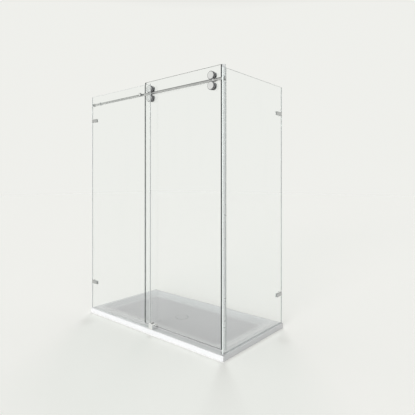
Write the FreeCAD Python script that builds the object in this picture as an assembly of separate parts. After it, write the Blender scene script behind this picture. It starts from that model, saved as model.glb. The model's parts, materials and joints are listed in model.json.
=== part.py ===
# Shower enclosure with a sliding glass door: tray, fixed front panel, return side panel,
# round rail, and a door hung from four grooved wheels that run on the rail.
# Millimetres, +Z up. X runs along the tray, from the left wall to the open right end.
# Y runs from the front edge of the tray to the back wall. The origin is the middle of the tray's underside.
import FreeCAD, Part
import math
import os

Vector = FreeCAD.Vector

# ---- tray ----
tray_length = 1524.0
tray_depth = 792.0
tray_height = 40.0
tray_corner_radius = 5.0
tray_edge_radius = 2.5
rim_left = 38.0
rim_right = 60.0
rim_front = 65.0
rim_back = 24.0
recess_corner_radius = 100.0
recess_depth = 24.0
slope_width = 140.0
slope_corner_radius = 45.0
slope_sections = 5
floor_fall = 3.0
fall_ring_radius = 64.0

# ---- waste and its lift-out cover ----
waste_rebate_radius = 56.0
waste_rebate_depth = 7.0
waste_hole_radius = 42.0
waste_barrel_radius = 40.0
waste_bore_radius = 37.0
waste_flange_thickness = 2.0
waste_seal_thickness = 1.0
waste_edge_clearance = 0.5
waste_floor_clearance = 0.5
cover_radius = 52.0
cover_thickness = 3.0
cover_edge = 0.5
cover_leg_radius = 3.0
cover_leg_height = 2.0
cover_leg_circle = 45.0
cover_leg_count = 6

# ---- glass ----
glass_thickness = 10.0
glass_arris = 0.8
bed_thickness = 3.0
wall_joint = 5.0
panel_height = 1908.0
fixed_setback = 12.0
fixed_width = 785.0
return_setback = 14.0
return_front_setback = 20.0
door_overlap = 104.0
door_return_gap = 25.0
door_clearance = 10.0
door_rise = 31.0
door_open_margin = 56.0
door_seal_leg = 11.0
door_seal_wall = 1.0
door_seal_gap = 0.5
door_seal_trim = 4.0

# ---- rail ----
rail_diameter = 20.0
rail_drop = 71.0
rail_glass_gap = 4.0
rail_end_gap = 0.5
socket_radius = 13.5
socket_length = 22.0
socket_base = 6.0
socket_clearance = 0.05
socket_edge = 1.0
wall_screw_hole_radius = 2.75
grub_radius = 2.5
grub_length = 3.2
grub_clearance = 0.05

# ---- bolted glass fittings on the rail ----
stud_radius = 4.0
stud_clearance = 0.05
stud_engagement = 12.0
fitting_hole_radius = 8.0
end_hole_radius = 6.5
bush_clearance = 0.05
gasket_thickness = 1.0
end_cap_radius = 9.0
end_cap_thickness = 8.0
connector_cap_radius = 13.5
cap_gasket_inset = 1.0
end_inner_gasket_thickness = 2.0
cap_edge = 1.0
connector_inset = 113.0
connector_neck_radius = 5.5
connector_engagement = 7.0

# ---- wheels ----
wheel_running_gap = 0.3
tread_radius = 25.2
flange_radius = 29.0
wheel_width = 19.0
wheel_edge = 0.6
bearing_radius = 13.0
bearing_width = 8.0
bearing_bore_radius = 5.05
bearing_shield_inner = 7.6
bearing_shield_outer = 11.2
bearing_shield_depth = 0.5
bearing_seat_clearance = 0.02
web_bore_radius = 8.5
face_radius = 28.0
face_thickness = 1.5
face_edge = 0.7
roller_inset = 80.0

# ---- bolts that carry the wheels through the door glass ----
roller_bolt_radius = 5.0
roller_bolt_head_radius = 9.0
roller_bolt_head_thickness = 4.0
roller_bolt_clearance = 0.3
spacer_nose_radius = 7.5
spacer_foot_radius = 13.0
spacer_foot_clearance = 0.7
door_rail_gap = 17.0
door_hole_radius = 9.0
roller_cap_radius = 26.0
roller_cap_thickness = 7.0
roller_cap_engagement = 5.0

# ---- stops on the rail ----
stop_radius = 13.0
stop_length = 14.0
stop_clearance = 0.05
stop_edge = 1.0
bumper_radius = 12.5
bumper_length = 4.0
bumper_gap = 0.4

# ---- wall clamps ----
clamp_height = 28.0
clamp_reach = 82.0
clamp_rise = 238.0
clamp_drop = 218.0
clamp_plate_start = 8.0
clamp_body_thickness = 9.0
clamp_cover_thickness = 5.0
clamp_foot_thickness = 6.0
clamp_foot_depth = 26.0
clamp_edge = 1.5
clamp_gasket_inset = 1.0
clamp_bolt_radius = 4.0
clamp_bolt_from_wall = 52.0
clamp_bolt_head_radius = 7.0
clamp_bolt_head_thickness = 4.0
clamp_bolt_engagement = 3.5
clamp_bolt_clearance = 0.05
clamp_glass_hole_radius = 7.0
clamp_screw_spacing = 14.0
clamp_screw_hole_radius = 2.75
clamp_screw_edge = 8.0

# ---- bottom guide ----
guide_width = 42.0
guide_height = 50.0
guide_grip = 6.0
guide_cheek = 8.0
guide_liner_wall = 1.0
guide_foot_height = 24.0
guide_base = 4.0
guide_rear_cheek = 6.0
guide_door_gap = 0.5
guide_door_liner = 1.5
guide_edge = 0.8
guide_screw_radius = 2.0
guide_screw_clearance = 0.05
guide_screw_head_radius = 3.8
guide_screw_head = 2.4
guide_screw_depth = 12.0
guide_screw_spacing = 20.0

# ---- levels and lines that the pieces share ----
left_wall = -tray_length / 2
right_end = tray_length / 2
front_edge = -tray_depth / 2
back_wall = tray_depth / 2
tray_top = tray_height

fixed_front = front_edge + fixed_setback
fixed_back = fixed_front + glass_thickness
fixed_left = left_wall + wall_joint
fixed_right = fixed_left + fixed_width
panel_bottom = tray_top + bed_thickness
panel_top = panel_bottom + panel_height

return_outer = right_end - return_setback
return_inner = return_outer - glass_thickness
return_front = front_edge + return_front_setback
return_back = back_wall - wall_joint

rail_radius = rail_diameter / 2
rail_y = fixed_back + rail_glass_gap + rail_radius
rail_z = panel_top - rail_drop
rail_left = left_wall + socket_base + rail_end_gap
rail_right = return_inner - end_inner_gasket_thickness
connector_x = fixed_right - connector_inset

door_front = rail_y + door_rail_gap
door_back = door_front + glass_thickness
door_left = fixed_right - door_overlap
door_right = return_inner - door_return_gap
door_bottom = tray_top + door_clearance
door_top = panel_top + door_rise
door_travel = door_left - door_open_margin - left_wall

wheel_rise = rail_radius + wheel_running_gap + tread_radius
wheel_front = rail_y - wheel_width / 2
wheel_back = rail_y + wheel_width / 2
roller_left_x = door_left + roller_inset
roller_right_x = door_right - roller_inset

recess_left = left_wall + rim_left
recess_right = right_end - rim_right
recess_front = front_edge + rim_front
recess_back = back_wall - rim_back
floor_level = tray_top - recess_depth
waste_level = floor_level - floor_fall
waste_x = (recess_left + recess_right) / 2
waste_y = (recess_front + recess_back) / 2
rebate_floor = waste_level - waste_rebate_depth
flange_bottom = rebate_floor + waste_seal_thickness
flange_top = flange_bottom + waste_flange_thickness

guide_right = fixed_right - guide_grip + guide_width
guide_left = fixed_right - guide_grip
guide_middle = (guide_left + guide_right) / 2
guide_front = fixed_front - guide_liner_wall - guide_cheek
guide_housing_back = fixed_back + guide_liner_wall + guide_cheek
guide_slot_front = door_front - guide_door_gap - guide_door_liner
guide_slot_back = door_back + guide_door_gap + guide_door_liner
guide_back = guide_slot_back + guide_rear_cheek
guide_screw_y = (guide_housing_back + guide_slot_front) / 2


# ---- shared shapes ----
def box(x0, x1, y0, y1, z0, z1):
    return Part.makeBox(x1 - x0, y1 - y0, z1 - z0, Vector(x0, y0, z0))


def rod_x(radius, x0, x1, y, z):
    return Part.makeCylinder(radius, x1 - x0, Vector(x0, y, z), Vector(1, 0, 0))


def rod_y(radius, y0, y1, x, z):
    return Part.makeCylinder(radius, y1 - y0, Vector(x, y0, z), Vector(0, 1, 0))


def rod_z(radius, z0, z1, x, y):
    return Part.makeCylinder(radius, z1 - z0, Vector(x, y, z0), Vector(0, 0, 1))


def ring_x(outer, inner, x0, x1, y, z):
    return rod_x(outer, x0, x1, y, z).cut(rod_x(inner, x0 - 1, x1 + 1, y, z))


def ring_y(outer, inner, y0, y1, x, z):
    return rod_y(outer, y0, y1, x, z).cut(rod_y(inner, y0 - 1, y1 + 1, x, z))


def ring_z(outer, inner, z0, z1, x, y):
    return rod_z(outer, z0, z1, x, y).cut(rod_z(inner, z0 - 1, z1 + 1, x, y))


def turned(edges, base, axis):
    # a solid turned from a closed profile about the axis through base
    face = Part.Face(Part.Wire(edges))
    return face.revolve(base, axis, 360)


def profile_lines(points):
    closed = points + [points[0]]
    return [Part.LineSegment(a, b).toShape() for a, b in zip(closed, closed[1:])]


def group(shapes):
    return Part.makeCompound(shapes)


def glass_sheet(x0, x1, y0, y1, z0, z1):
    # a toughened sheet with every edge ground to a small flat
    sheet = box(x0, x1, y0, y1, z0, z1)
    return sheet.makeChamfer(glass_arris, sheet.Edges)


def rounded_outline(x0, x1, y0, y1, radius, z):
    # a rounded rectangle: four straight edges and four quarter arcs, anticlockwise from the front edge
    k = radius * (1 - math.sqrt(0.5))
    corners = [
        (Vector(x1 - radius, y0, z), Vector(x1 - k, y0 + k, z), Vector(x1, y0 + radius, z)),
        (Vector(x1, y1 - radius, z), Vector(x1 - k, y1 - k, z), Vector(x1 - radius, y1, z)),
        (Vector(x0 + radius, y1, z), Vector(x0 + k, y1 - k, z), Vector(x0, y1 - radius, z)),
        (Vector(x0, y0 + radius, z), Vector(x0 + k, y0 + k, z), Vector(x0 + radius, y0, z)),
    ]
    edges = []
    start = corners[3][2]
    for first, middle, last in corners:
        edges.append(Part.LineSegment(start, first).toShape())
        edges.append(Part.Arc(first, middle, last).toShape())
        start = last
    return Part.Wire(edges)


def round_outline(x, y, radius, z, half_angle):
    # a circle in eight arcs that pair off with the edges of a rounded rectangle
    def at(angle):
        return Vector(x + radius * math.cos(angle), y + radius * math.sin(angle), z)

    edges = []
    for side in range(4):
        centre = math.radians(-90 + 90 * side)
        a = centre - half_angle
        b = centre + half_angle
        c = centre + math.radians(90) - half_angle
        edges.append(Part.Arc(at(a), at(centre), at(b)).toShape())
        edges.append(Part.Arc(at(b), at((b + c) / 2), at(c)).toShape())
    return Part.Wire(edges)


# ---- tray and waste ----
def recess_section(inset):
    # the slope is an arc that meets the floor flat, so it is steepest under the rim
    arc_radius = (slope_width ** 2 + recess_depth ** 2) / (2 * recess_depth)
    rise = arc_radius - math.sqrt(arc_radius ** 2 - (slope_width - inset) ** 2)
    share = inset / slope_width
    radius = recess_corner_radius + (slope_corner_radius - recess_corner_radius) * share
    return rounded_outline(recess_left + inset, recess_right - inset, recess_front + inset,
                           recess_back - inset, radius, floor_level + rise)


def make_tray():
    tray = box(left_wall, right_end, front_edge, back_wall, 0, tray_top)
    uprights = [e for e in tray.Edges if abs(e.Vertexes[0].Z - e.Vertexes[1].Z) > tray_height / 2]
    tray = tray.makeFillet(tray_corner_radius, uprights)
    rim = [e for e in tray.Edges if e.BoundBox.ZMin > tray_top - 0.01]
    tray = tray.makeFillet(tray_edge_radius, rim)
    insets = [slope_width * i / (slope_sections - 1) for i in range(slope_sections)]
    slope = Part.makeLoft([recess_section(i) for i in insets], True, False)
    floor_edge = recess_section(slope_width)
    ring = round_outline(waste_x, waste_y, fall_ring_radius, waste_level, math.radians(30))
    fall = Part.makeLoft([floor_edge, ring], True, True)
    tray = tray.cut(slope).cut(fall)
    tray = tray.cut(rod_z(waste_rebate_radius, rebate_floor, tray_top, waste_x, waste_y))
    tray = tray.cut(rod_z(waste_hole_radius, -1, tray_top, waste_x, waste_y))
    for x in guide_screw_positions():
        pilot = guide_screw_radius + guide_screw_clearance
        tray = tray.cut(rod_z(pilot, tray_top - guide_screw_depth, tray_top + 1, x, guide_screw_y))
    return tray


def make_waste_body():
    flange = ring_z(waste_rebate_radius - waste_edge_clearance, waste_bore_radius, flange_bottom,
                    flange_top, waste_x, waste_y)
    barrel = ring_z(waste_barrel_radius, waste_bore_radius, waste_floor_clearance, flange_top,
                    waste_x, waste_y)
    return flange.fuse(barrel).removeSplitter()


def make_waste_seal():
    return ring_z(waste_rebate_radius - waste_edge_clearance, waste_hole_radius, rebate_floor,
                  flange_bottom, waste_x, waste_y)


def make_drain_cover():
    # a flat disc on short legs, so that water runs in all round its edge
    base = flange_top + cover_leg_height
    cover = bevelled_disc(cover_radius, cover_thickness, cover_edge)
    cover.translate(Vector(waste_x, waste_y, base))
    for i in range(cover_leg_count):
        angle = 2 * math.pi * i / cover_leg_count
        x = waste_x + cover_leg_circle * math.cos(angle)
        y = waste_y + cover_leg_circle * math.sin(angle)
        cover = cover.fuse(rod_z(cover_leg_radius, flange_top, base + cover_thickness / 2, x, y))
    return cover.removeSplitter()


# ---- glass panels and their seals ----
def clamp_levels():
    return [("lower", tray_top + clamp_rise), ("upper", panel_top - clamp_drop)]


def make_fixed_panel():
    sheet = glass_sheet(fixed_left, fixed_right, fixed_front, fixed_back, panel_bottom, panel_top)
    for _, z in clamp_levels():
        x = left_wall + clamp_bolt_from_wall
        sheet = sheet.cut(rod_y(clamp_glass_hole_radius, fixed_front - 1, fixed_back + 1, x, z))
    return sheet.cut(rod_y(fitting_hole_radius, fixed_front - 1, fixed_back + 1, connector_x, rail_z))


def make_return_panel():
    sheet = glass_sheet(return_inner, return_outer, return_front, return_back, panel_bottom, panel_top)
    for _, z in clamp_levels():
        y = back_wall - clamp_bolt_from_wall
        sheet = sheet.cut(rod_x(clamp_glass_hole_radius, return_inner - 1, return_outer + 1, y, z))
    return sheet.cut(rod_x(end_hole_radius, return_inner - 1, return_outer + 1, rail_y, rail_z))


def make_door_panel():
    sheet = glass_sheet(door_left, door_right, door_front, door_back, door_bottom, door_top)
    for x, z in roller_positions():
        sheet = sheet.cut(rod_y(door_hole_radius, door_front - 1, door_back + 1, x, z))
    return sheet


def make_door_closing_seal():
    # a channel over the door's closing edge with a hollow bulb that meets the return panel
    tip = return_inner - door_seal_gap
    leg_left = door_right - door_seal_leg
    web_right = door_right + door_seal_wall
    outer_front = door_front - door_seal_wall
    outer_back = door_back + door_seal_wall
    z0 = door_bottom + door_seal_trim
    z1 = door_top - door_seal_trim
    channel = box(leg_left, web_right, outer_front, outer_back, z0, z1)
    channel = channel.cut(box(leg_left - 1, door_right, door_front, door_back, z0 - 1, z1 + 1))
    bulb_depth = (outer_back - outer_front) / 2
    middle = (outer_front + outer_back) / 2
    bulb_end = tip - bulb_depth
    bulb = box(web_right, bulb_end, outer_front, outer_back, z0, z1)
    bulb = bulb.fuse(rod_z(bulb_depth, z0, z1, bulb_end, middle))
    inner = bulb_depth - door_seal_wall
    hollow = box(web_right, bulb_end, middle - inner, middle + inner, z0 - 1, z1 + 1)
    hollow = hollow.fuse(rod_z(inner, z0 - 1, z1 + 1, bulb_end, middle))
    return channel.fuse(bulb).removeSplitter().cut(hollow)


def make_fixed_panel_bed_seal():
    return box(fixed_left, fixed_right, fixed_front, fixed_back, tray_top, panel_bottom)


def make_fixed_panel_wall_seal():
    return box(left_wall, fixed_left, fixed_front, fixed_back, tray_top, panel_top)


def make_return_panel_bed_seal():
    return box(return_inner, return_outer, return_front, return_back, tray_top, panel_bottom)


def make_return_panel_wall_seal():
    return box(return_inner, return_outer, return_back, back_wall, tray_top, panel_top)


# ---- rail and the fittings at its ends ----
def make_rail():
    bar = rod_x(rail_radius, rail_left, rail_right, rail_y, rail_z)
    bar = bar.makeChamfer(cap_edge, [e for e in bar.Edges if e.Closed])
    bore = stud_radius + stud_clearance
    bar = bar.cut(rod_x(bore, rail_right - stud_engagement, rail_right + 1, rail_y, rail_z))
    seat = rail_y - rail_radius
    return bar.cut(rod_y(bore, seat - 1, seat + connector_engagement, connector_x, rail_z))


def make_rail_wall_socket():
    cup = rod_x(socket_radius, left_wall, left_wall + socket_length, rail_y, rail_z)
    mouth = [e for e in cup.Edges if e.Closed and e.BoundBox.XMin > left_wall + socket_length / 2]
    cup = cup.makeChamfer(socket_edge, mouth)
    pocket = rail_radius + socket_clearance
    cup = cup.cut(rod_x(pocket, left_wall + socket_base, left_wall + socket_length + 1, rail_y, rail_z))
    cup = cup.cut(rod_x(wall_screw_hole_radius, left_wall - 1, left_wall + socket_length, rail_y, rail_z))
    grub_hole = rod_z(grub_radius + grub_clearance, rail_z - socket_radius - 1, rail_z, grub_x(), rail_y)
    return cup.cut(grub_hole)


def grub_x():
    return left_wall + (socket_base + socket_length) / 2


def make_rail_socket_grub_screw():
    top = rail_z - rail_radius
    return rod_z(grub_radius, top - grub_length, top, grub_x(), rail_y)


def bevelled_disc(radius, thickness, edge):
    # seat at z = 0, flat face, bevelled rim
    points = [Vector(0, 0, 0), Vector(radius, 0, 0), Vector(radius, 0, thickness - edge),
              Vector(radius - edge, 0, thickness), Vector(0, 0, thickness)]
    return turned(profile_lines(points), Vector(0, 0, 0), Vector(0, 0, 1))


def facing(shape, base, direction):
    # a shape drawn along +Z, moved to base and turned to face another way
    shape.Placement = FreeCAD.Placement(base, FreeCAD.Rotation(Vector(0, 0, 1), direction))
    return shape


def make_rail_end_cap():
    seat = return_outer + gasket_thickness
    cap = bevelled_disc(end_cap_radius, end_cap_thickness, cap_edge)
    cap = facing(cap, Vector(seat, rail_y, rail_z), Vector(1, 0, 0))
    stud = rod_x(stud_radius, rail_right - stud_engagement + rail_end_gap, seat + 1, rail_y, rail_z)
    return cap.fuse(stud).removeSplitter()


def make_rail_end_bush():
    return ring_x(end_hole_radius - bush_clearance, stud_radius + stud_clearance, return_inner, return_outer,
                  rail_y, rail_z)


def make_rail_end_gaskets():
    bore = stud_radius + stud_clearance
    inner = ring_x(rail_radius, bore, rail_right, return_inner, rail_y, rail_z)
    pad = end_cap_radius - cap_gasket_inset
    outer = ring_x(pad, bore, return_outer, return_outer + gasket_thickness, rail_y, rail_z)
    return group([inner, outer])


def make_rail_connector_cap():
    seat = fixed_front - gasket_thickness
    cap = bevelled_disc(connector_cap_radius, end_cap_thickness, cap_edge)
    cap = facing(cap, Vector(connector_x, seat, rail_z), Vector(0, -1, 0))
    stud_end = rail_y - rail_radius + connector_engagement - rail_end_gap
    return cap.fuse(rod_y(stud_radius, seat - 1, stud_end, connector_x, rail_z)).removeSplitter()


def make_rail_connector_bush():
    bore = stud_radius + stud_clearance
    seat = fixed_front - gasket_thickness
    sleeve = ring_y(fitting_hole_radius - bush_clearance, bore, seat, fixed_back, connector_x, rail_z)
    washer = ring_y(connector_cap_radius - cap_gasket_inset, bore, seat, fixed_front, connector_x, rail_z)
    return sleeve.fuse(washer).removeSplitter()


def make_rail_connector_neck():
    # a saddle between the glass and the rail, hollowed to sit on the round bar
    bore = stud_radius + stud_clearance
    neck = ring_y(connector_neck_radius, bore, fixed_back, rail_y, connector_x, rail_z)
    bar = rod_x(rail_radius + stop_clearance, connector_x - connector_cap_radius,
                connector_x + connector_cap_radius, rail_y, rail_z)
    return neck.cut(bar)


# ---- stops on the rail ----
def stop_reach():
    # how far a wheel's flange reaches along the rail from the wheel's centre, at the bumper's height
    drop = wheel_rise - bumper_radius
    return math.sqrt((flange_radius + bumper_gap) ** 2 - drop ** 2)


def stop_layout():
    closed_face = roller_right_x + stop_reach()
    open_face = roller_left_x - door_travel - stop_reach()
    return [("closed", closed_face, 1), ("open", open_face, -1)]


def stop_collar(face, direction):
    start = face + direction * bumper_length
    end = start + direction * stop_length
    x0 = min(start, end)
    x1 = max(start, end)
    collar = rod_x(stop_radius, x0, x1, rail_y, rail_z)
    collar = collar.makeChamfer(stop_edge, [e for e in collar.Edges if e.Closed])
    collar = collar.cut(rod_x(rail_radius + stop_clearance, x0 - 1, x1 + 1, rail_y, rail_z))
    grub = rod_z(grub_radius + grub_clearance, rail_z - stop_radius - 1, rail_z, (x0 + x1) / 2, rail_y)
    return collar.cut(grub)


def make_stop_bumpers():
    rings = []
    for _, face, direction in stop_layout():
        end = face + direction * bumper_length
        rings.append(ring_x(bumper_radius, rail_radius + stop_clearance, min(face, end), max(face, end),
                            rail_y, rail_z))
    return group(rings)


def make_stop_grub_screws():
    screws = []
    top = rail_z - rail_radius
    for _, face, direction in stop_layout():
        x = face + direction * (bumper_length + stop_length / 2)
        screws.append(rod_z(grub_radius, rail_z - stop_radius + stop_edge / 2, top, x, rail_y))
    return group(screws)


# ---- wheels ----
def roller_names():
    columns = [("left", roller_left_x), ("right", roller_right_x)]
    rows = [("upper", rail_z + wheel_rise), ("lower", rail_z - wheel_rise)]
    return [(side + "_" + row, x, z) for side, x in columns for row, z in rows]


def roller_positions():
    return [(x, z) for _, x, z in roller_names()]


def make_wheel(x, z):
    # a grooved wheel: the groove is an arc round the rail, and a pocket open to the front takes the bearing
    groove_radius = rail_radius + wheel_running_gap
    half_groove = math.sqrt(groove_radius ** 2 - (wheel_rise - flange_radius) ** 2)
    pocket_radius = bearing_radius + bearing_seat_clearance
    pocket_end = rail_y + bearing_width / 2

    def at(radius, y):
        return Vector(x + radius, y, z)

    points = [at(flange_radius, rail_y + half_groove), at(flange_radius, wheel_back - wheel_edge),
              at(flange_radius - wheel_edge, wheel_back), at(web_bore_radius, wheel_back),
              at(web_bore_radius, pocket_end), at(pocket_radius, pocket_end), at(pocket_radius, wheel_front),
              at(flange_radius - wheel_edge, wheel_front), at(flange_radius, wheel_front + wheel_edge),
              at(flange_radius, rail_y - half_groove)]
    edges = [Part.LineSegment(a, b).toShape() for a, b in zip(points, points[1:])]
    edges.append(Part.Arc(points[-1], at(tread_radius, rail_y), points[0]).toShape())
    return turned(edges, Vector(x, 0, z), Vector(0, 1, 0))


def make_bearing(x, z):
    front = rail_y - bearing_width / 2
    back = rail_y + bearing_width / 2

    def at(radius, y):
        return Vector(x + radius, y, z)

    points = [at(bearing_bore_radius, front), at(bearing_shield_inner, front),
              at(bearing_shield_inner, front + bearing_shield_depth),
              at(bearing_shield_outer, front + bearing_shield_depth), at(bearing_shield_outer, front),
              at(bearing_radius, front), at(bearing_radius, back), at(bearing_shield_outer, back),
              at(bearing_shield_outer, back - bearing_shield_depth),
              at(bearing_shield_inner, back - bearing_shield_depth), at(bearing_shield_inner, back),
              at(bearing_bore_radius, back)]
    return turned(profile_lines(points), Vector(x, 0, z), Vector(0, 1, 0))


def make_wheel_face(x, z):
    disc = rod_y(face_radius, wheel_front - face_thickness, wheel_front, x, z)
    rim = [e for e in disc.Edges if e.Closed and e.BoundBox.YMax < wheel_front - face_thickness / 2]
    return disc.makeChamfer(face_edge, rim)


# ---- bolts, spacers and caps that hang the door from its wheels ----
def roller_bolt(x, z):
    head_back = rail_y - bearing_width / 2 - roller_bolt_clearance
    head_front = head_back - roller_bolt_head_thickness
    end = door_back + gasket_thickness + roller_cap_engagement - rail_end_gap
    head = rod_y(roller_bolt_head_radius, head_front, head_back, x, z)
    return head.fuse(rod_y(roller_bolt_radius, head_back, end, x, z)).removeSplitter()


def roller_spacer(x, z):
    bore = bearing_bore_radius
    nose_front = rail_y + bearing_width / 2 + roller_bolt_clearance
    foot_front = wheel_back + spacer_foot_clearance
    foot_back = door_front - gasket_thickness
    nose = ring_y(spacer_nose_radius, bore, nose_front, foot_back, x, z)
    return nose.fuse(ring_y(spacer_foot_radius, bore, foot_front, foot_back, x, z)).removeSplitter()


def roller_bush(x, z):
    return ring_y(door_hole_radius - bush_clearance, bearing_bore_radius, door_front, door_back, x, z)


def roller_gasket_pair(x, z):
    bore = bearing_bore_radius
    front = ring_y(spacer_foot_radius, bore, door_front - gasket_thickness, door_front, x, z)
    back = ring_y(roller_cap_radius - cap_edge, bore, door_back, door_back + gasket_thickness, x, z)
    return [front, back]


def roller_cap(x, z):
    seat = door_back + gasket_thickness
    cap = bevelled_disc(roller_cap_radius, roller_cap_thickness, cap_edge)
    cap = facing(cap, Vector(x, seat, z), Vector(0, 1, 0))
    return cap.cut(rod_y(bearing_bore_radius, seat - 1, seat + roller_cap_engagement, x, z))


# ---- glass-to-wall clamps ----
# Local axes: x leaves the wall along the glass, y leaves the middle of the glass towards the inside, z is up.
def clamp_body():
    half = clamp_height / 2
    seat = glass_thickness / 2 + gasket_thickness
    plate = box(0, clamp_reach, seat, seat + clamp_body_thickness, -half, half)
    foot = box(0, clamp_foot_thickness, seat, seat + clamp_foot_depth, -half, half)
    body = plate.fuse(foot).removeSplitter()
    ends = [e for e in body.Edges if e.BoundBox.YLength < 0.01 and e.BoundBox.ZLength > half]
    far = [e for e in ends if e.BoundBox.XMin > clamp_reach - 0.01]
    body = body.makeFillet(clamp_edge, far)
    hole = clamp_bolt_radius + clamp_bolt_clearance
    head = clamp_bolt_head_radius + clamp_bolt_clearance
    outer = seat + clamp_body_thickness
    body = body.cut(rod_y(hole, seat - 1, outer + 1, clamp_bolt_from_wall, 0))
    body = body.cut(rod_y(head, outer - clamp_bolt_head_thickness, outer + 1, clamp_bolt_from_wall, 0))
    for side in (-1, 1):
        z = side * clamp_screw_spacing / 2
        body = body.cut(rod_x(clamp_screw_hole_radius, -1, clamp_foot_thickness + 1,
                              seat + clamp_foot_depth - clamp_screw_edge, z))
    return body


def clamp_plate():
    half = clamp_height / 2
    seat = -glass_thickness / 2 - gasket_thickness
    plate = box(clamp_plate_start, clamp_reach, seat - clamp_cover_thickness, seat, -half, half)
    rim = [e for e in plate.Edges if e.BoundBox.YMax < seat - clamp_cover_thickness + 0.01]
    plate = plate.makeFillet(clamp_edge, rim)
    hole = clamp_bolt_radius + clamp_bolt_clearance
    return plate.cut(rod_y(hole, seat - clamp_bolt_engagement, seat + 1, clamp_bolt_from_wall, 0))


def clamp_gasket(direction):
    half = clamp_height / 2 - clamp_gasket_inset
    face = direction * glass_thickness / 2
    seat = face + direction * gasket_thickness
    y0 = min(face, seat)
    y1 = max(face, seat)
    pad = box(clamp_plate_start, clamp_reach - clamp_gasket_inset, y0, y1, -half, half)
    hole = clamp_bolt_radius + clamp_bolt_clearance
    return pad.cut(rod_y(hole, y0 - 1, y1 + 1, clamp_bolt_from_wall, 0))


def clamp_bolt():
    outer = glass_thickness / 2 + gasket_thickness + clamp_body_thickness
    seat = -glass_thickness / 2 - gasket_thickness
    head = rod_y(clamp_bolt_head_radius, outer - clamp_bolt_head_thickness, outer, clamp_bolt_from_wall, 0)
    tip = seat - clamp_bolt_engagement + rail_end_gap
    return head.fuse(rod_y(clamp_bolt_radius, tip, outer - 1, clamp_bolt_from_wall, 0)).removeSplitter()


def on_left_wall(shape, z):
    placed = shape.copy()
    placed.translate(Vector(left_wall, (fixed_front + fixed_back) / 2, z))
    return placed


def on_back_wall(shape, z):
    # the same clamp turned so that its foot lies on the back wall and its body is inside the return panel
    matrix = FreeCAD.Matrix(0, -1, 0, (return_inner + return_outer) / 2,
                            -1, 0, 0, back_wall,
                            0, 0, -1, z,
                            0, 0, 0, 1)
    placed = shape.copy()
    placed.transformShape(matrix, True)
    return placed


def at_every_clamp(shape):
    copies = []
    for _, z in clamp_levels():
        copies.append(on_left_wall(shape, z))
        copies.append(on_back_wall(shape, z))
    return copies


# ---- bottom guide ----
def guide_screw_positions():
    return [guide_middle - guide_screw_spacing / 2, guide_middle + guide_screw_spacing / 2]


def make_guide_block():
    # an arch-topped housing grips the fixed panel's corner, and a low foot behind it straddles the door
    arch = guide_width / 2
    shoulder = tray_top + guide_height - arch
    housing = box(guide_left, guide_right, guide_front, guide_housing_back, tray_top, shoulder)
    crown = rod_y(arch, guide_front, guide_housing_back, guide_middle, shoulder)
    housing = housing.fuse(crown).removeSplitter()
    front_rim = [e for e in housing.Edges
                 if e.BoundBox.YMax < guide_front + 0.01 and e.BoundBox.ZMax > tray_top + 0.01]
    housing = housing.makeFillet(guide_edge, front_rim)
    foot_top = tray_top + guide_foot_height
    foot = box(guide_left, guide_right, guide_housing_back, guide_back, tray_top, foot_top)
    block = housing.fuse(foot).removeSplitter()
    slot_front = fixed_front - guide_liner_wall
    slot_back = fixed_back + guide_liner_wall
    block = block.cut(box(guide_left - 1, fixed_right + guide_liner_wall, slot_front, slot_back,
                          tray_top - 1, tray_top + guide_height + 1))
    block = block.cut(box(guide_left - 1, guide_right + 1, guide_slot_front, guide_slot_back,
                          tray_top + guide_base, tray_top + guide_height))
    for x in guide_screw_positions():
        hole = guide_screw_radius + guide_screw_clearance
        head = guide_screw_head_radius + guide_screw_clearance
        block = block.cut(rod_z(hole, tray_top - 1, foot_top + 1, x, guide_screw_y))
        block = block.cut(rod_z(head, foot_top - guide_screw_head, foot_top + 1, x, guide_screw_y))
    return block


def make_guide_liners():
    top = tray_top + guide_foot_height
    grip = box(guide_left, fixed_right + guide_liner_wall, fixed_front - guide_liner_wall,
               fixed_back + guide_liner_wall, tray_top, top)
    grip = grip.cut(box(guide_left - 1, fixed_right, fixed_front, fixed_back, tray_top - 1, top + 1))
    base = tray_top + guide_base
    channel = box(guide_left, guide_right, guide_slot_front, guide_slot_back, base, top)
    channel = channel.cut(box(guide_left - 1, guide_right + 1, door_front - guide_door_gap,
                              door_back + guide_door_gap, base + guide_door_liner, top + 1))
    return group([grip, channel])


def make_guide_screws():
    screws = []
    top = tray_top + guide_foot_height
    for x in guide_screw_positions():
        head = rod_z(guide_screw_head_radius, top - guide_screw_head, top - guide_screw_clearance,
                     x, guide_screw_y)
        shank = rod_z(guide_screw_radius, tray_top - guide_screw_depth + rail_end_gap,
                      top - guide_screw_head, x, guide_screw_y)
        screws.append(head.fuse(shank).removeSplitter())
    return group(screws)


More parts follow.
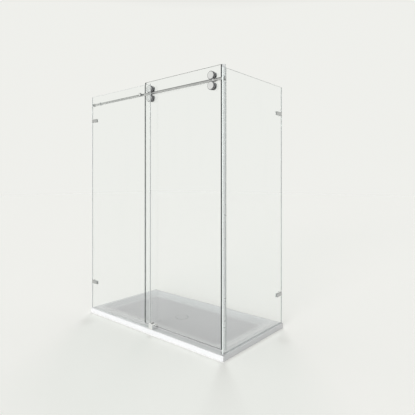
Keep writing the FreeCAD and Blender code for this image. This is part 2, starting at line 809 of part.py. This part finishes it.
# ---- every piece by name ----
def make_parts():
    parts = {
        "shower_tray": make_tray(),
        "waste_body": make_waste_body(),
        "waste_seal": make_waste_seal(),
        "drain_cover": make_drain_cover(),
        "fixed_panel": make_fixed_panel(),
        "fixed_panel_bed_seal": make_fixed_panel_bed_seal(),
        "fixed_panel_wall_seal": make_fixed_panel_wall_seal(),
        "return_panel": make_return_panel(),
        "return_panel_bed_seal": make_return_panel_bed_seal(),
        "return_panel_wall_seal": make_return_panel_wall_seal(),
        "door_panel": make_door_panel(),
        "door_closing_seal": make_door_closing_seal(),
        "rail": make_rail(),
        "rail_wall_socket": make_rail_wall_socket(),
        "rail_socket_grub_screw": make_rail_socket_grub_screw(),
        "rail_end_cap": make_rail_end_cap(),
        "rail_end_bush": make_rail_end_bush(),
        "rail_end_gaskets": make_rail_end_gaskets(),
        "rail_connector_cap": make_rail_connector_cap(),
        "rail_connector_bush": make_rail_connector_bush(),
        "rail_connector_neck": make_rail_connector_neck(),
        "stop_bumpers": make_stop_bumpers(),
        "stop_grub_screws": make_stop_grub_screws(),
        "guide_block": make_guide_block(),
        "guide_liners": make_guide_liners(),
        "guide_screws": make_guide_screws(),
    }
    for name, face, direction in stop_layout():
        parts["stop_collar_" + name] = stop_collar(face, direction)
    for name, x, z in roller_names():
        parts["wheel_" + name] = make_wheel(x, z)
        parts["bearing_" + name] = make_bearing(x, z)
        parts["wheel_face_" + name] = make_wheel_face(x, z)
    for side in ("left", "right"):
        spots = [(x, z) for name, x, z in roller_names() if name.startswith(side)]
        parts["roller_bolts_" + side] = group([roller_bolt(x, z) for x, z in spots])
        parts["roller_caps_" + side] = group([roller_cap(x, z) for x, z in spots])
    spots = roller_positions()
    parts["roller_spacers"] = group([roller_spacer(x, z) for x, z in spots])
    parts["roller_bushes"] = group([roller_bush(x, z) for x, z in spots])
    parts["roller_gaskets"] = group([pad for x, z in spots for pad in roller_gasket_pair(x, z)])
    body = clamp_body()
    for name, z in clamp_levels():
        parts["clamp_left_" + name] = on_left_wall(body, z)
        parts["clamp_back_" + name] = on_back_wall(body, z)
    parts["clamp_plates"] = group(at_every_clamp(clamp_plate()))
    parts["clamp_gaskets"] = group(at_every_clamp(clamp_gasket(1)) + at_every_clamp(clamp_gasket(-1)))
    parts["clamp_bolts"] = group(at_every_clamp(clamp_bolt()))
    return parts


def main():
    os.makedirs("parts", exist_ok=True)
    for name, shape in sorted(make_parts().items()):
        shape.exportStep("parts/" + name + ".step")
        size = shape.BoundBox
        print(name, len(shape.Solids), shape.isValid(), round(shape.Volume / 1000, 2),
              [round(v, 1) for v in (size.XMin, size.XMax, size.YMin, size.YMax, size.ZMin, size.ZMax)])


main()
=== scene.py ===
import json
import math

import bpy
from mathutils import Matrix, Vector


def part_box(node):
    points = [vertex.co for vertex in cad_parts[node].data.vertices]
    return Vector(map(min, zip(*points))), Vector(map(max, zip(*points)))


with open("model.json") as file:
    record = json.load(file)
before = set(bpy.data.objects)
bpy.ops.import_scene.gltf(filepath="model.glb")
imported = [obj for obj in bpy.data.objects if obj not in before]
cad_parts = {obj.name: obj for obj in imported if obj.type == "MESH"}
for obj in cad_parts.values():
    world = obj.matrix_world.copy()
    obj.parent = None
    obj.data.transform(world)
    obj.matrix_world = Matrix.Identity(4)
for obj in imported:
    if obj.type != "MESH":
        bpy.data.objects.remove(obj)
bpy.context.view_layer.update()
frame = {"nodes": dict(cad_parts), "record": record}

# Lengths are in metres and colours are linear.

# ---- viewpoint, light and background ----
CAMERA_PLACE = (2.3460, -2.4170, 1.1963)
CAMERA_TILT = math.radians(90)
CAMERA_TURN = math.radians(40.36)
CAMERA_LENS = 33.90
CAMERA_SENSOR = 36.0
CAMERA_SHIFT_UP = -0.0655
# what shows behind the object, and what reflections find high above it
BACKGROUND = (0.865, 0.868, 0.835, 1.0)
OVERHEAD = (0.05, 0.052, 0.055, 1.0)
# upward part of the direction at which OVERHEAD begins and is full
OVERHEAD_SPAN = (0.40, 0.86)
# the light that falls on surfaces from all around
WORLD_LIGHT = (1.0, 1.0, 0.99, 1.0)
WORLD_STRENGTH = 0.34
# name, where the light comes from, strength, width in degrees
SUNS = (("front_sun", (0.20, -0.97, 0.12), 2.70, 24),
        ("high_sun", (-0.40, 0.50, 0.77), 1.10, 16))
FLOOR_SIZE = 60.0
FLOOR_COLOUR = (0.80, 0.80, 0.79, 1.0)
FLOOR_ROUGHNESS = 0.9
# raises the floor to the tone of BACKGROUND where it is looked at, and lights no matt surface
FLOOR_LIFT = (0.290, 0.293, 0.269, 1.0)

# ---- tray ----
# each pair of tones is the clean one and the clouded one
TRAY_GLOSS = ((0.868, 0.872, 0.878, 1), (0.850, 0.856, 0.864, 1))
# greyer tone of the recess floor: partly its own tone, partly painted shade of the recess
TRAY_STANDING_SHADE = ((0.690, 0.688, 0.702, 1), (0.664, 0.662, 0.676, 1))
# lighter tone along the tray's sharp edges: painted highlight
TRAY_EDGE_HIGHLIGHT = (0.93, 0.935, 0.94, 1)
TRAY_EDGE_RADIUS = 0.0012
TRAY_EDGE_SHARE = 0.35
TRAY_ROUGHNESS = (0.16, 0.20)
TRAY_WORN_ROUGHNESS = 0.12
TRAY_IOR = 1.49
# width at the outside of the tray that the recess tones leave free
TRAY_SKIN = 0.012
# heights between which the greyer recess tone, partly painted shade, and the worn gloss fade out
STANDING_SHADE_FADE = (0.016, 0.022)
WORN_FADE = (0.018, 0.034)

# ---- glass ----
# clean tone and streaked tone
GLASS_FACE = ((0.978, 0.990, 0.987, 1), (0.955, 0.971, 0.967, 1))
GLASS_SHADOW = (0.90, 0.93, 0.92, 1)
GLASS_IOR = 1.50
LIGHT_EDGE = (0.90, 0.935, 0.925, 1.0)
PALE_EDGE = (0.78, 0.83, 0.81, 1.0)
# the door's edges: near black, painted shade for the dark look of a glass edge
DARK_EDGE_SHADE = (0.020, 0.030, 0.030, 1.0)
EDGE_ROUGHNESS = 0.16
# share of the light that passes an edge
EDGE_PASS = 0.04
# widths of the painted shade at the door's ends
DOOR_LEFT_SHADE_BAND = 0.009
DOOR_RIGHT_SHADE_BAND = 0.005
STREAK_SHARE = 0.5
DROP_SCALE = 150.0
DROP_ROUGHNESS = 0.012

# ---- seals ----
SEAL_TONES = ((0.90, 0.915, 0.91, 1), (0.78, 0.80, 0.80, 1))
SEAL_ROUGHNESS = (0.25, 0.42)
SEAL_IOR = 1.45
# share of the light that passes, for seals and gaskets and for the door's own seal
SEAL_PASS = 0.15
DOOR_SEAL_PASS = 0.45
# tone and width of the legs that grip the door; the dark tone is painted shade along the door's edge
SEAL_LEG_SHADE = (0.10, 0.11, 0.11, 1)
SEAL_LEG = 0.011

# ---- metals and plastics ----
METALS = {
    "polished_metal": dict(pale=(0.55, 0.556, 0.554, 1), dark=(0.47, 0.476, 0.476, 1),
                           roughness=(0.06, 0.16), grain=0.04, scale=900.0, stretch=(0.05, 1, 1)),
    # a lighter copy of the polished metal for guides and clamps: the extra brightness is a painted
    # reflection
    "lit_polished_face": dict(pale=(0.96, 0.96, 0.96, 1), dark=(0.92, 0.925, 0.93, 1),
                          roughness=(0.05, 0.12), grain=0.03, scale=900.0, stretch=(1, 1, 0.05)),
    "bearing_steel": dict(pale=(0.56, 0.57, 0.58, 1), dark=(0.44, 0.45, 0.46, 1),
                          roughness=(0.24, 0.40), grain=0.20, scale=1600.0, stretch=(1, 0.05, 1)),
}
# a lighter copy of the polished metal for the wheel faces and caps: the extra brightness is a
# painted reflection
LIT_TURNED_METAL = dict(pale=(0.86, 0.865, 0.87, 1), dark=(0.80, 0.805, 0.815, 1),
                    roughness=(0.05, 0.12), grain=0.03, scale=900.0, stretch=(1, 1, 0.05))
# lighter tone along sharp metal edges: painted highlight
METAL_EDGE_HIGHLIGHT = (0.93, 0.93, 0.93, 1)
# tone and width of the painted shade at the outer rim of a turned face, and the width over which it
# sets in
RING_SHADE_TONE = (0.26, 0.265, 0.27, 1.0)
FACE_RING = 0.0035
RING_START = 0.001
PLASTICS = {
    "nylon": dict(pale=(0.80, 0.80, 0.78, 1), dark=(0.74, 0.74, 0.72, 1),
                  roughness=(0.38, 0.52), grain=0.15, scale=60.0),
    "nylon_wheel": dict(pale=(0.28, 0.283, 0.29, 1), dark=(0.23, 0.232, 0.238, 1),
                        roughness=(0.30, 0.45), grain=0.18, scale=50.0),
    "waste_plastic": dict(pale=(0.76, 0.77, 0.78, 1), dark=(0.70, 0.71, 0.72, 1),
                          roughness=(0.36, 0.50), grain=0.20, scale=40.0),
    "seal_rubber": dict(pale=(0.035, 0.035, 0.037, 1), dark=(0.02, 0.02, 0.021, 1),
                        roughness=(0.55, 0.75), grain=0.30, scale=80.0),
}
PLASTIC_IOR = 1.5
# how much lighter than its pale tone the painted highlight along a plastic's edge is
PLASTIC_EDGE_HIGHLIGHT_GAIN = 1.15
# radius and strength of the painted edge highlight on metals and plastics
SMALL_EDGE_RADIUS = 0.0006
SMALL_EDGE_SHARE = 0.5

# ---- spans of texture and shading values that the materials use ----
NOISE_SPAN = (0.3, 0.7)
SMEAR_SPAN = (0.32, 0.68)
STREAK_SPAN = (0.55, 0.80)
DROP_SPAN = (0.04, 0.16)
# part of the normal along the sheet's thin axis, at which an edge begins and is full
SHEET_EDGE_SPAN = (0.92, 0.80)
# cosine between the rounded and the true normal, at which an edge begins and is full
SHARP_EDGE_SPAN = (0.99, 0.80)


# ---- node helpers ----
def colour_sockets(sockets):
    return [socket for socket in sockets if socket.type == "RGBA"]


def maths(tree, operation, first, second=None):
    made = tree.nodes.new("ShaderNodeMath")
    made.operation = operation
    for socket, value in zip(made.inputs, (first, second)):
        if isinstance(value, (int, float)):
            socket.default_value = value
        elif value is not None:
            tree.links.new(value, socket)
    return made.outputs["Value"]


def mix_shaders(tree, share, first, second, target):
    """Gives the target socket the first shader where share is 0 and the second where it is 1."""
    mix = tree.nodes.new("ShaderNodeMixShader")
    for socket, value in zip(mix.inputs, (share, first, second)):
        tree.links.new(value, socket)
    tree.links.new(mix.outputs[0], target)


class Shader:
    """A material with its main shader and short calls for the nodes that feed it."""

    def __init__(self, name):
        self.material = bpy.data.materials.new(name)
        self.material.use_nodes = True
        self.tree = self.material.node_tree
        self.main = self.tree.nodes["Principled BSDF"]
        self.output = self.tree.nodes["Material Output"]
        self.coordinates = self.node("ShaderNodeTexCoord")

    def node(self, kind, **settings):
        made = self.tree.nodes.new(kind)
        for key, value in settings.items():
            setattr(made, key, value)
        return made

    def link(self, source, target):
        self.tree.links.new(source, target)

    def feed(self, socket, source):
        """Links a node's output to a socket of the main shader."""
        self.link(source, self.main.inputs[socket])

    def set(self, **values):
        """Sets constants on the main shader."""
        for key, value in values.items():
            self.main.inputs[key.replace("_", " ")].default_value = value

    def place(self, stretch=(1, 1, 1)):
        """Object coordinates in metres, scaled along the axes."""
        mapping = self.node("ShaderNodeMapping")
        mapping.inputs["Scale"].default_value = stretch
        self.link(self.coordinates.outputs["Object"], mapping.inputs["Vector"])
        return mapping.outputs["Vector"]

    def noise(self, scale, detail=2.0, stretch=(1, 1, 1)):
        made = self.node("ShaderNodeTexNoise")
        made.inputs["Scale"].default_value = scale
        made.inputs["Detail"].default_value = detail
        self.link(self.place(stretch), made.inputs["Vector"])
        return made.outputs["Fac"]

    def spots(self, scale):
        """Distance to the nearest of many scattered points, 0 at a point."""
        made = self.node("ShaderNodeTexVoronoi")
        made.inputs["Scale"].default_value = scale
        self.link(self.place(), made.inputs["Vector"])
        return made.outputs["Distance"]

    def to_range(self, value, span, low=0.0, high=1.0):
        """The value moved from its span to the range from low to high."""
        made = self.node("ShaderNodeMapRange")
        numbers = {"From Min": span[0], "From Max": span[1], "To Min": low, "To Max": high}
        for key, number in numbers.items():
            made.inputs[key].default_value = number
        self.link(value, made.inputs["Value"])
        return made.outputs["Result"]

    def maths(self, operation, first, second=None):
        return maths(self.tree, operation, first, second)

    def blend(self, share, first, second):
        """Colour first where share is 0 and second where it is 1."""
        made = self.node("ShaderNodeMix", data_type="RGBA")
        for socket, value in zip(colour_sockets(made.inputs), (first, second)):
            if isinstance(value, tuple):
                socket.default_value = value
            else:
                self.link(value, socket)
        self.link(share, made.inputs["Factor"])
        return colour_sockets(made.outputs)[0]

    def part(self, vector, axis):
        parts = self.node("ShaderNodeSeparateXYZ")
        self.link(self.coordinates.outputs[vector], parts.inputs[0])
        return parts.outputs[axis]

    def along(self, axis):
        """One object coordinate, in metres."""
        return self.part("Object", axis)

    def from_axis(self, centre):
        """Distance from the line through centre that runs along Y."""
        moved = self.node("ShaderNodeVectorMath", operation="SUBTRACT")
        self.link(self.coordinates.outputs["Object"], moved.inputs[0])
        moved.inputs[1].default_value = centre
        flat = self.node("ShaderNodeVectorMath", operation="MULTIPLY")
        self.link(moved.outputs["Vector"], flat.inputs[0])
        flat.inputs[1].default_value = (1, 0, 1)
        length = self.node("ShaderNodeVectorMath", operation="LENGTH")
        self.link(flat.outputs["Vector"], length.inputs[0])
        return length.outputs["Value"]

    def bump(self, height, strength, distance):
        made = self.node("ShaderNodeBump")
        made.inputs["Strength"].default_value = strength
        made.inputs["Distance"].default_value = distance
        self.link(height, made.inputs["Height"])
        self.feed("Normal", made.outputs["Normal"])

    def sharp_edges(self, radius):
        """1 along sharp edges, 0 on open faces."""
        bevel = self.node("ShaderNodeBevel", samples=4)
        bevel.inputs["Radius"].default_value = radius
        geometry = self.node("ShaderNodeNewGeometry")
        dot = self.node("ShaderNodeVectorMath", operation="DOT_PRODUCT")
        self.link(bevel.outputs["Normal"], dot.inputs[0])
        self.link(geometry.outputs["Normal"], dot.inputs[1])
        return self.to_range(dot.outputs["Value"], SHARP_EDGE_SPAN)

    def painted_edge_highlight(self, colour, tone, radius=SMALL_EDGE_RADIUS, share=SMALL_EDGE_SHARE):
        """The colour with a painted highlight of another tone along its sharp edges."""
        return self.blend(self.maths("MULTIPLY", self.sharp_edges(radius), share), colour, tone)


# ---- materials ----
def recess_area(m):
    """1 over the tray's recess and rim, 0 on its outer faces."""
    low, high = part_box("shower_tray")
    shares = []
    for axis, start, end in (("X", low.x, high.x), ("Y", low.y, high.y)):
        place = m.along(axis)
        shares.append(m.maths("GREATER_THAN", place, start + TRAY_SKIN))
        shares.append(m.maths("LESS_THAN", place, end - TRAY_SKIN))
    area = shares[0]
    for share in shares[1:]:
        area = m.maths("MULTIPLY", area, share)
    return area


def tray_white():
    """Gloss cast resin: very faint clouding, orange peel, and a greyer, duller floor in the recess,
    whose grey is partly its own tone and partly painted shade.
    """
    m = Shader("tray_white")
    clouding = m.to_range(m.noise(2.2), NOISE_SPAN)
    gloss = m.blend(clouding, *TRAY_GLOSS)
    standing_shade = m.blend(clouding, *TRAY_STANDING_SHADE)
    inside = recess_area(m)
    # where the greyer recess tone, partly painted shade, is laid on
    low = m.maths("MULTIPLY", inside, m.to_range(m.along("Z"), STANDING_SHADE_FADE, 1.0, 0.0))
    colour = m.blend(low, gloss, standing_shade)
    m.feed("Base Color", m.painted_edge_highlight(colour, TRAY_EDGE_HIGHLIGHT, TRAY_EDGE_RADIUS, TRAY_EDGE_SHARE))
    worn = m.maths("MULTIPLY", inside, m.to_range(m.along("Z"), WORN_FADE, TRAY_WORN_ROUGHNESS, 0.0))
    wiped = m.to_range(m.noise(7.0), NOISE_SPAN, *TRAY_ROUGHNESS)
    m.feed("Roughness", m.maths("ADD", worn, wiped))
    m.bump(m.noise(160.0), strength=0.03, distance=0.0003)
    m.set(IOR=TRAY_IOR)
    return m.material


def outside_shade_band(m, shade_band):
    """1 past the two places along X that the given pair marks, 0 between them: the door's ends,
    which get painted shade.
    """
    low, high = shade_band
    near_low = m.maths("LESS_THAN", m.along("X"), low)
    near_high = m.maths("GREATER_THAN", m.along("X"), high)
    return m.maths("MAXIMUM", near_low, near_high)


def let_sunlight_through(m):
    """Makes the sheet clear for shadow rays, so that light reaches what is behind it."""
    path = m.node("ShaderNodeLightPath")
    clear = m.node("ShaderNodeBsdfTransparent")
    clear.inputs["Color"].default_value = GLASS_SHADOW
    mix_shaders(m.tree, path.outputs["Is Shadow Ray"], m.main.outputs[0], clear.outputs[0],
                m.output.inputs["Surface"])


def glass(name, thin_axis, edge_tone, shade_band=None):
    """Clear toughened sheet: faint waviness, streaks and dried drops on the faces, ground edges.

    Outside the given places along X, where they are given, the edge tone is painted over the faces
    too: painted shade for the dark line that an edge shows through the glass.
    """
    m = Shader(name)
    flat = m.maths("ABSOLUTE", m.part("Normal", thin_axis))
    edge = m.to_range(flat, SHEET_EDGE_SPAN)
    # painted shade over the faces at the door's ends
    if shade_band:
        edge = m.maths("MAXIMUM", edge, outside_shade_band(m, shade_band))
    streaks = m.to_range(m.noise(9.0, detail=5.0, stretch=(1, 1, 0.18)), STREAK_SPAN)
    face = m.blend(m.maths("MULTIPLY", streaks, STREAK_SHARE), *GLASS_FACE)
    m.feed("Base Color", m.blend(edge, face, edge_tone))
    drops = m.to_range(m.spots(DROP_SCALE), DROP_SPAN, DROP_ROUGHNESS, 0.0)
    ground = m.to_range(edge, (0.0, 1.0), 0.0, EDGE_ROUGHNESS)
    m.feed("Roughness", m.maths("ADD", ground, drops))
    m.feed("Transmission Weight", m.to_range(edge, (0.0, 1.0), 1.0, EDGE_PASS))
    m.bump(m.noise(2.6, stretch=(1, 1, 0.5)), strength=0.05, distance=0.0008)
    m.set(IOR=GLASS_IOR)
    let_sunlight_through(m)
    return m.material


def clear_seal(name, transmission, left=None):
    """Milky flexible profile with long extrusion lines.

    For the door's seal, left is the place along X where its gripping legs begin; their dark tone is
    painted shade along the door's edge.
    """
    m = Shader(name)
    lines = m.noise(900.0, stretch=(1, 1, 0.004))
    colour = m.blend(lines, *SEAL_TONES)
    if left is not None:
        # painted shade on the legs that grip the door
        leg_shade = m.maths("LESS_THAN", m.along("X"), left + SEAL_LEG)
        colour = m.blend(leg_shade, colour, SEAL_LEG_SHADE)
    m.feed("Base Color", colour)
    m.feed("Roughness", m.to_range(m.noise(60.0, detail=3.0), NOISE_SPAN, *SEAL_ROUGHNESS))
    m.bump(lines, strength=0.15, distance=0.0002)
    m.set(IOR=SEAL_IOR, Transmission_Weight=transmission)
    return m.material


def metal(name, pale, dark, roughness, grain, scale, stretch, disc=None):
    """Metal with a painted highlight along its sharp edges, faint smears and a fine grain.

    A disc, given by its centre and radius, is a turned face with painted shade, a darker band, at
    its outer rim.
    """
    m = Shader(name)
    smear = m.to_range(m.noise(34.0, detail=5.0), SMEAR_SPAN)
    colour = m.blend(smear, pale, dark)
    if disc:
        centre, radius = disc
        start = radius - FACE_RING
        # painted shade at the outer rim of the turned face
        shade_ring = m.to_range(m.from_axis(centre), (start, start + RING_START))
        colour = m.blend(shade_ring, colour, RING_SHADE_TONE)
    m.feed("Base Color", m.painted_edge_highlight(colour, METAL_EDGE_HIGHLIGHT))
    m.feed("Roughness", m.to_range(m.noise(120.0, detail=6.0), NOISE_SPAN, *roughness))
    m.bump(m.noise(scale, stretch=stretch), strength=grain, distance=0.0002)
    m.set(Metallic=1.0)
    return m.material


def plastic(name, pale, dark, roughness, grain, scale):
    """Moulded or turned plastic: mottled colour, fine grain, and a painted highlight along its
    edges.
    """
    m = Shader(name)
    mottled = m.to_range(m.noise(scale, detail=4.0), NOISE_SPAN)
    colour = m.blend(mottled, pale, dark)
    lighter = tuple(min(1.0, PLASTIC_EDGE_HIGHLIGHT_GAIN * c) for c in pale[:3]) + (1,)
    m.feed("Base Color", m.painted_edge_highlight(colour, lighter))
    m.feed("Roughness", m.to_range(m.noise(4.0 * scale, detail=3.0), NOISE_SPAN, *roughness))
    m.bump(m.noise(14.0 * scale, detail=3.0), strength=grain, distance=0.0003)
    m.set(IOR=PLASTIC_IOR)
    return m.material


def turned_face(node):
    low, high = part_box(node)
    disc = ((low + high) / 2, (high.x - low.x) / 2)
    return metal("turned_" + node, disc=disc, **LIT_TURNED_METAL)


def make_materials():
    made = {
        "tray_white": tray_white(),
        "clear_seal": clear_seal("clear_seal", SEAL_PASS),
        "door_seal": clear_seal("door_seal", DOOR_SEAL_PASS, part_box("door_closing_seal")[0].x),
    }
    for name, look in METALS.items():
        made[name] = metal(name, **look)
    for name, look in PLASTICS.items():
        made[name] = plastic(name, **look)
    return made


def dress(material, node):
    slots = frame["nodes"][node].data.materials
    slots.clear()
    slots.append(material)


def dress_nodes():
    materials = make_materials()
    door_low, door_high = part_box("door_panel")
    # the door's ends and edges get painted shade
    door_shade_band = (door_low.x + DOOR_LEFT_SHADE_BAND, door_high.x - DOOR_RIGHT_SHADE_BAND)
    panels = {"fixed_panel": ("Y", LIGHT_EDGE), "return_panel": ("X", PALE_EDGE),
              "door_panel": ("Y", DARK_EDGE_SHADE, door_shade_band)}
    slot_of = {row["node"]: row["material_slot"] for row in frame["record"]["subparts"]}
    for node in frame["nodes"]:
        if node in panels:
            dress(glass("glass_" + node, *panels[node]), node)
        elif node.startswith(("wheel_face", "rail_connector_cap")):
            dress(turned_face(node), node)
        elif node == "door_closing_seal":
            dress(materials["door_seal"], node)
        elif node.startswith(("guide_block", "clamp_left", "clamp_back")):
            dress(materials["lit_polished_face"], node)
        else:
            dress(materials[slot_of[node]], node)


# ---- stage ----
def background_rays(tree):
    """1 for rays that show the background straight, in a reflection or through glass.

    It is 0 for rays that bounced off a matt surface, which so takes no light from it.
    """
    path = tree.nodes.new("ShaderNodeLightPath").outputs
    seen = maths(tree, "MAXIMUM", path["Is Camera Ray"], path["Is Glossy Ray"])
    seen = maths(tree, "MAXIMUM", seen, path["Is Transmission Ray"])
    unbounced = maths(tree, "LESS_THAN", path["Diffuse Depth"], 0.5)
    return maths(tree, "MULTIPLY", seen, unbounced)


def make_floor():
    half = FLOOR_SIZE / 2
    corners = [(-half, -half, 0), (half, -half, 0), (half, half, 0), (-half, half, 0)]
    mesh = bpy.data.meshes.new("floor")
    mesh.from_pydata(corners, [], [(0, 1, 2, 3)])
    floor = bpy.data.objects.new("floor", mesh)
    bpy.context.scene.collection.objects.link(floor)
    m = Shader("floor_paint")
    m.set(Base_Color=FLOOR_COLOUR, Roughness=FLOOR_ROUGHNESS, Specular_IOR_Level=0.0,
          Emission_Color=FLOOR_LIFT)
    m.feed("Emission Strength", background_rays(m.tree))
    mesh.materials.append(m.material)


def shown_colour(tree):
    """BACKGROUND all around, turning to OVERHEAD high up."""
    direction = tree.nodes.new("ShaderNodeTexCoord")
    parts = tree.nodes.new("ShaderNodeSeparateXYZ")
    height = tree.nodes.new("ShaderNodeMapRange")
    height.inputs["From Min"].default_value = OVERHEAD_SPAN[0]
    height.inputs["From Max"].default_value = OVERHEAD_SPAN[1]
    sky = tree.nodes.new("ShaderNodeMix")
    sky.data_type = "RGBA"
    low, high = colour_sockets(sky.inputs)
    low.default_value = BACKGROUND
    high.default_value = OVERHEAD
    tree.links.new(direction.outputs["Generated"], parts.inputs[0])
    tree.links.new(parts.outputs["Z"], height.inputs["Value"])
    tree.links.new(height.outputs["Result"], sky.inputs["Factor"])
    return colour_sockets(sky.outputs)[0]


def make_world():
    world = bpy.data.worlds.new("studio")
    world.use_nodes = True
    tree = world.node_tree
    tree.nodes.clear()
    light = tree.nodes.new("ShaderNodeBackground")
    light.inputs["Color"].default_value = WORLD_LIGHT
    light.inputs["Strength"].default_value = WORLD_STRENGTH
    shown = tree.nodes.new("ShaderNodeBackground")
    tree.links.new(shown_colour(tree), shown.inputs["Color"])
    output = tree.nodes.new("ShaderNodeOutputWorld")
    mix_shaders(tree, background_rays(tree), light.outputs[0], shown.outputs[0],
                output.inputs["Surface"])
    bpy.context.scene.world = world


def make_suns():
    for name, source, strength, width in SUNS:
        lamp = bpy.data.lights.new(name, "SUN")
        lamp.energy = strength
        lamp.angle = math.radians(width)
        sun = bpy.data.objects.new(name, lamp)
        sun.visible_glossy = False
        # the glass passes sunlight to shadow rays already, and this keeps it from counting twice
        sun.visible_transmission = False
        sun.rotation_euler = Vector(source).to_track_quat("Z", "Y").to_euler()
        bpy.context.scene.collection.objects.link(sun)


def make_camera():
    data = bpy.data.cameras.new("camera")
    data.lens = CAMERA_LENS
    data.sensor_width = CAMERA_SENSOR
    data.shift_y = CAMERA_SHIFT_UP
    camera = bpy.data.objects.new("camera", data)
    camera.location = CAMERA_PLACE
    camera.rotation_euler = (CAMERA_TILT, 0, CAMERA_TURN)
    bpy.context.scene.collection.objects.link(camera)
    bpy.context.scene.camera = camera


make_camera()
make_world()
make_suns()
make_floor()
dress_nodes()
bpy.context.scene.view_settings.view_transform = "Standard"
